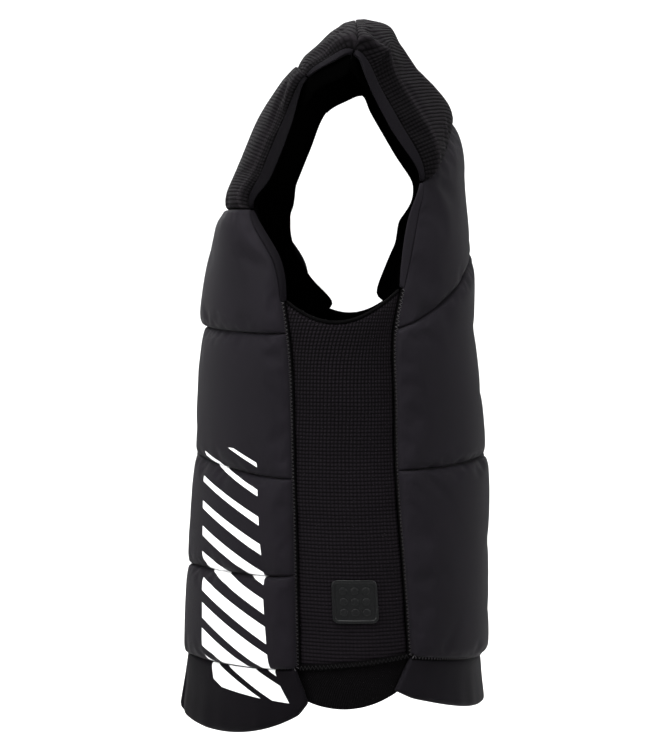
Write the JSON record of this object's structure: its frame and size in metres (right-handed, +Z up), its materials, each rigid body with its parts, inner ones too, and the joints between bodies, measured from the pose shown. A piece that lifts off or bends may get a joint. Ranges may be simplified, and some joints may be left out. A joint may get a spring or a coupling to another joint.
{
  "type": "impact vest",
  "caption": "Zip-front impact vest for water sports with plump foam pads, ribbed shoulder straps, stretch knit sides and a flared hem, in the shape it has when worn.",
  "frame": {"origin": "midway between the shoulders, at the height where the straps sit on them", "axes": "+Z up, the wearer faces -Y, the wearer's left side is +X"},
  "size_m": [0.3595, 0.2803, 0.6134],
  "materials": {
    "smooth": "matte smooth neoprene with a short soft nap",
    "knit": "matte waffle rib knit",
    "lining": "matte plain jersey",
    "rubber": "satin",
    "metal": "satin black"
  },
  "bodies": {
    "root": {"hip_pad_left": "smooth", "hip_pad_right": "smooth", "belly_pad_left": "smooth", "belly_pad_right": "smooth", "rib_pad_left": "smooth", "rib_pad_right": "smooth", "chest_pad_left": "smooth", "chest_pad_right": "smooth", "front_yoke_left": "knit", "front_yoke_right": "knit", "shoulder_front_left": "knit", "shoulder_front_right": "knit", "shoulder_back_left": "knit", "shoulder_back_right": "knit", "back_yoke_left": "smooth", "back_yoke_right": "smooth", "back_mid_left": "smooth", "back_mid_right": "smooth", "back_low_left": "smooth", "back_low_right": "smooth", "front_lining_left": "lining", "front_lining_right": "lining", "back_lining_left": "lining", "back_lining_right": "lining", "side_panel_left": "knit", "side_panel_right": "knit", "front_skirt_left": "smooth", "front_skirt_right": "smooth", "side_skirt_left": "knit", "side_skirt_right": "knit", "back_skirt_left": "smooth", "back_skirt_right": "smooth", "placket_left": "knit", "placket_right": "knit", "zip_tape_left": "lining", "zip_tape_right": "lining", "chest_pad_facing_left": "smooth", "chest_pad_facing_right": "smooth", "front_yoke_facing_left": "smooth", "front_yoke_facing_right": "smooth", "shoulder_front_facing_left": "smooth", "shoulder_front_facing_right": "smooth", "shoulder_back_facing_left": "smooth", "shoulder_back_facing_right": "smooth", "back_yoke_facing_left": "smooth", "back_yoke_facing_right": "smooth", "neck_binding_left": "smooth", "neck_binding_right": "smooth", "arm_binding_left": "smooth", "arm_binding_right": "smooth", "spine_panel": "knit", "zip_chain": "rubber", "zip_slider": "metal", "side_badge": "rubber"}
  },
  "joints": []
}
